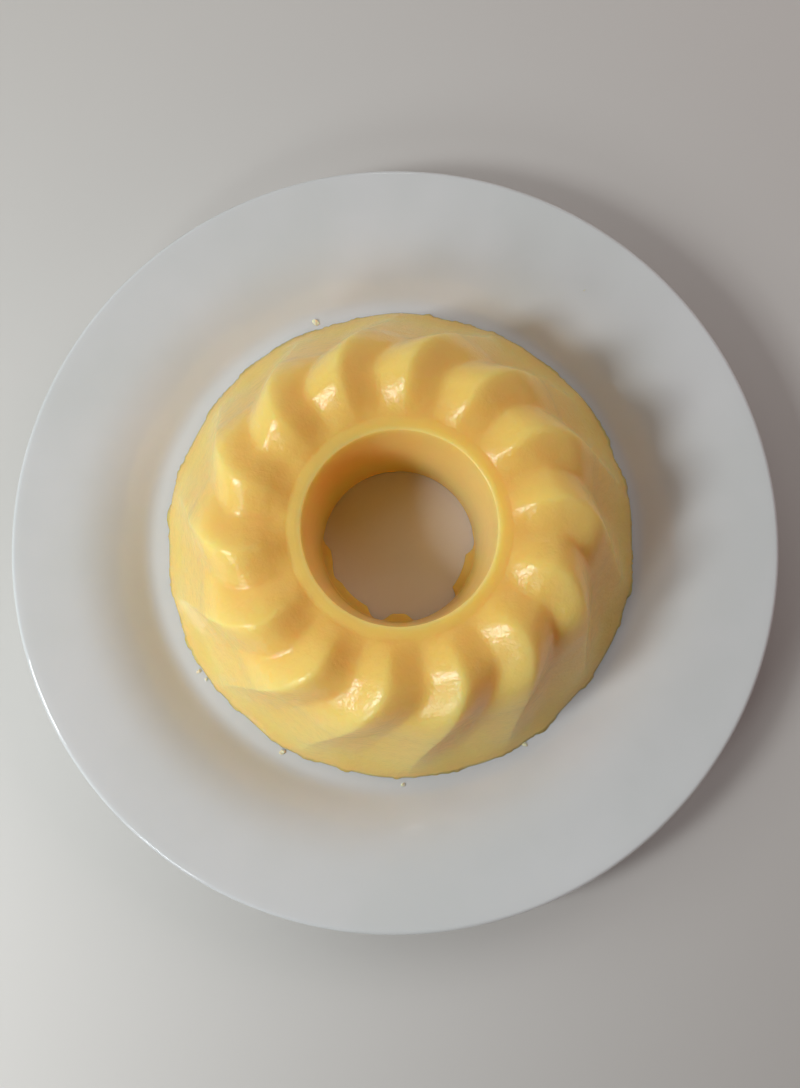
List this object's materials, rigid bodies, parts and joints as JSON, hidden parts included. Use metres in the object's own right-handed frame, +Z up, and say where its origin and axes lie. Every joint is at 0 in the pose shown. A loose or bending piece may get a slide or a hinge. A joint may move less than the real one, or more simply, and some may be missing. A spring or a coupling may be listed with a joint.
{
  "type": "moulded jelly on a plate",
  "caption": "Ring-shaped milky fruit jelly with swirled flutes, turned out of its mould onto a round white rimmed plate.",
  "frame": {"origin": "centre of the plate's foot, on the surface that it stands on", "axes": "+Z up out of the plate, through the ring of jelly; the flutes swirl clockwise and outward, seen from +Z"},
  "size_m": [0.2668, 0.2668, 0.055],
  "materials": {
    "jelly": "wet, glossy, milky and slightly translucent yellow jelly",
    "plate": "glossy white glaze"
  },
  "bodies": {
    "root": {"jelly": "jelly", "plate": "plate"}
  },
  "joints": []
}
